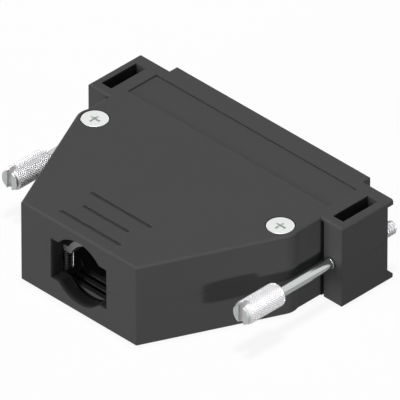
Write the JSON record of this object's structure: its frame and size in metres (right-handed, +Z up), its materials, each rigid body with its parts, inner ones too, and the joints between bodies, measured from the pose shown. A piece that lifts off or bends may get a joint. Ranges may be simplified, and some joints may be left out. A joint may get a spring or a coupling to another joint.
{
  "type": "d-sub hood",
  "caption": "Two-part black plastic cable hood for a D-shaped connector, with captive knurled jackscrews and an inner cable clamp.",
  "frame": {"origin": "centre of the plane on which the connector's flange seats", "axes": "+Y towards the mating side, -Y towards the cable, +Z up, X across the hood"},
  "size_m": [0.0668, 0.0523, 0.018],
  "materials": {
    "black_plastic": "moulded glass-filled plastic, black, fine matt texture",
    "zinc_steel": "zinc plated, bright",
    "nickel_steel": "nickel plated, satin, knurled head",
    "spring_steel": "plain spring steel, bright"
  },
  "bodies": {
    "hood": {"upper_shell": "black_plastic", "lower_shell": "black_plastic", "shell_screw_left": "zinc_steel", "shell_screw_right": "zinc_steel", "shell_nut_left": "zinc_steel", "shell_nut_right": "zinc_steel"},
    "clamp": {"clamp_strap": "zinc_steel"},
    "clip_left": {"retaining_clip_left": "spring_steel"},
    "jackscrew_left": {"jackscrew_left": "nickel_steel"},
    "clamp_screw_left": {"clamp_screw_left": "zinc_steel"},
    "clip_right": {"retaining_clip_right": "spring_steel"},
    "jackscrew_right": {"jackscrew_right": "nickel_steel"},
    "clamp_screw_right": {"clamp_screw_right": "zinc_steel"}
  },
  "joints": [
    {"name": "jackscrew_left_travel", "type": "slide", "parent": "hood", "child": "clip_left", "axis": [0, 1, 0], "range_m": [-0.0052, 0.00305]},
    {"name": "jackscrew_left_turn", "type": "hinge", "parent": "clip_left", "child": "jackscrew_left", "pos_m": [-0.03055, 0, 0], "axis": [0, 1, 0], "continuous": true},
    {"name": "clamp_screw_left_turn", "type": "hinge", "parent": "hood", "child": "clamp_screw_left", "pos_m": [-0.00985, -0.04147, 0], "axis": [0, 0, 1], "range_deg": [0, 3240]},
    {"name": "jackscrew_right_travel", "type": "slide", "parent": "hood", "child": "clip_right", "axis": [0, 1, 0], "range_m": [-0.0052, 0.00305]},
    {"name": "jackscrew_right_turn", "type": "hinge", "parent": "clip_right", "child": "jackscrew_right", "pos_m": [0.03055, 0, 0], "axis": [0, 1, 0], "continuous": true},
    {"name": "clamp_screw_right_turn", "type": "hinge", "parent": "hood", "child": "clamp_screw_right", "pos_m": [0.00985, -0.04147, 0], "axis": [0, 0, 1], "range_deg": [0, 3240]},
    {"name": "clamp_travel", "type": "slide", "parent": "hood", "child": "clamp", "axis": [0, 0, -1], "range_m": [0, 0.0045]}
  ],
  "couplings": [
    {"joint": "clamp_screw_left_turn", "follows": "clamp_travel", "rad_per_m": 12566},
    {"joint": "clamp_screw_right_turn", "follows": "clamp_travel", "rad_per_m": 12566}
  ]
}
